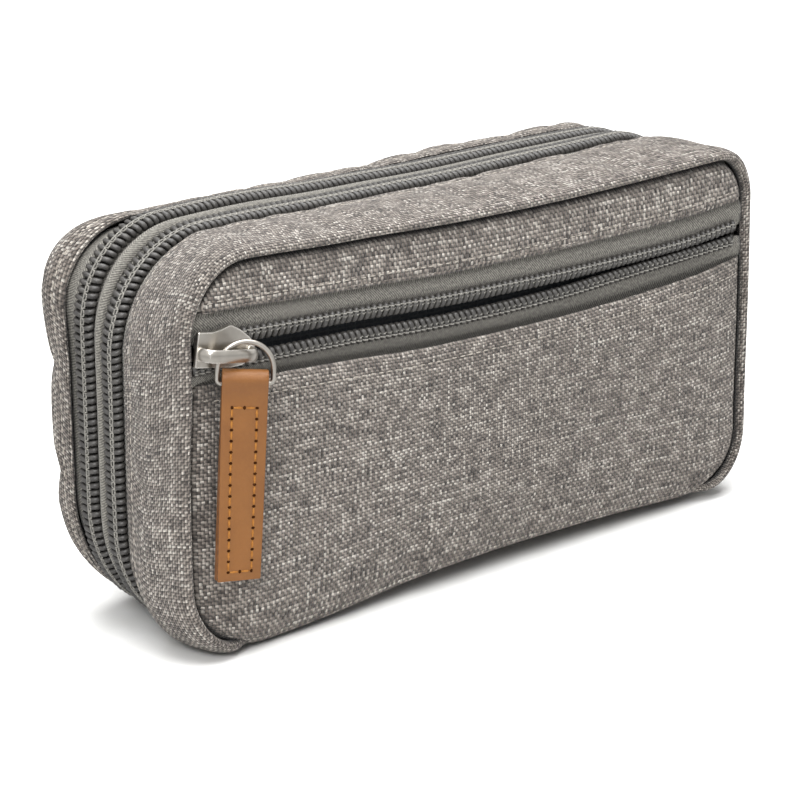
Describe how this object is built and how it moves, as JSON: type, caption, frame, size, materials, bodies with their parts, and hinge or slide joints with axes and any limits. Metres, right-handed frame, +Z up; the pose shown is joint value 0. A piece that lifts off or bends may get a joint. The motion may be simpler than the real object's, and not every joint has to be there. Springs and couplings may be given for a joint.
{
  "type": "insulin cooling case",
  "caption": "Soft zipped cooling case with two compartments that fold down from a central divider, and a zipped outside pocket with a leather pull.",
  "frame": {"origin": "Middle of the core's flat bottom strip, on the surface that the case stands on.", "axes": "+X along the length of the case, to the right seen from the front; -Y out of the front with the pocket; +Z up."},
  "size_m": [0.2059, 0.0681, 0.1007],
  "materials": {
    "fabric": "matte grey-beige melange weave laminated to thin foam",
    "zip_tape": "matte grey herringbone tape",
    "zip_coil": "satin dark grey nylon coil",
    "board": "stiff foam board",
    "lining": "matte dark grey lining cloth",
    "elastic": "matte black woven elastic",
    "mesh": "dark net",
    "gel": "soft pale blue film pouch with gel",
    "foam": "closed-cell insulation foam",
    "slider_metal": "satin nickel",
    "leather": "smooth tan leather with orange-brown stitching"
  },
  "bodies": {
    "core": {"core_band": "fabric", "front_zip_core_side_tape": "zip_tape", "front_zip_core_side_coil": "zip_coil", "rear_zip_core_side_tape": "zip_tape", "rear_zip_core_side_coil": "zip_coil", "divider_board": "board", "divider_lining_front": "lining", "divider_lining_rear": "lining", "pen_strap_left": "elastic", "pen_strap_right": "elastic", "mesh_pocket": "mesh", "mesh_pocket_binding": "elastic", "gel_pack": "gel"},
    "front_shell": {"front_gusset": "fabric", "front_panel_upper": "fabric", "pocket_panel": "fabric", "pocket_zip_upper_tape": "zip_tape", "pocket_zip_lower_tape": "zip_tape", "pocket_zip_upper_coil": "zip_coil", "pocket_zip_lower_coil": "zip_coil", "front_seam_binding": "zip_tape", "pocket_back": "lining", "front_foam": "foam", "front_lining": "lining", "front_zip_shell_side_tape": "zip_tape", "front_zip_shell_side_coil": "zip_coil"},
    "back_shell": {"back_gusset": "fabric", "back_panel": "fabric", "back_seam_binding": "zip_tape", "back_foam": "foam", "back_lining": "lining", "rear_zip_shell_side_tape": "zip_tape", "rear_zip_shell_side_coil": "zip_coil"},
    "pocket_slider": {"pocket_zip_slider": "slider_metal"},
    "pocket_ring": {"pocket_zip_ring": "slider_metal"},
    "pocket_pull": {"pocket_zip_pull": "leather"},
    "front_slider": {"front_zip_slider": "slider_metal"},
    "front_ring": {"front_zip_ring": "slider_metal"},
    "front_pull": {"front_zip_pull": "leather"},
    "rear_slider": {"rear_zip_slider": "slider_metal"},
    "rear_ring": {"rear_zip_ring": "slider_metal"},
    "rear_pull": {"rear_zip_pull": "leather"}
  },
  "joints": [
    {"name": "front_shell_fold", "type": "hinge", "parent": "core", "child": "front_shell", "pos_m": [0, -0.0052, 0], "axis": [1, 0, 0], "range_deg": [0, 100]},
    {"name": "back_shell_fold", "type": "hinge", "parent": "core", "child": "back_shell", "pos_m": [0, 0.0052, 0], "axis": [-1, 0, 0], "range_deg": [0, 100]},
    {"name": "pocket_zip_travel", "type": "slide", "parent": "front_shell", "child": "pocket_slider", "axis": [1, 0, 0], "range_m": [0, 0.172]},
    {"name": "pocket_ring_turn", "type": "hinge", "parent": "pocket_slider", "child": "pocket_ring", "pos_m": [-0.0863, -0.03923, 0.074], "axis": [-0.5, -0.866, 0], "range_deg": [-3, 75]},
    {"name": "pocket_pull_swing", "type": "hinge", "parent": "pocket_ring", "child": "pocket_pull", "pos_m": [-0.0863, -0.03923, 0.071], "axis": [-0.866, 0.5, 0], "range_deg": [0, 110]},
    {"name": "front_zip_travel", "type": "slide", "parent": "core", "child": "front_slider", "axis": [0, 0, 1], "range_m": [-0.006, 0.022]},
    {"name": "front_ring_flip", "type": "hinge", "parent": "front_slider", "child": "front_ring", "pos_m": [0.103, -0.0052, 0.0398], "axis": [0, -1, 0], "range_deg": [0, 100]},
    {"name": "front_pull_swing", "type": "hinge", "parent": "front_ring", "child": "front_pull", "pos_m": [0.103, -0.0052, 0.0329], "axis": [0, -1, 0], "range_deg": [0, 70]},
    {"name": "rear_zip_travel", "type": "slide", "parent": "core", "child": "rear_slider", "axis": [0, 0, 1], "range_m": [-0.006, 0.022]},
    {"name": "rear_ring_flip", "type": "hinge", "parent": "rear_slider", "child": "rear_ring", "pos_m": [0.103, 0.0052, 0.0398], "axis": [0, -1, 0], "range_deg": [0, 100]},
    {"name": "rear_pull_swing", "type": "hinge", "parent": "rear_ring", "child": "rear_pull", "pos_m": [0.103, 0.0052, 0.0329], "axis": [0, -1, 0], "range_deg": [0, 70]}
  ]
}
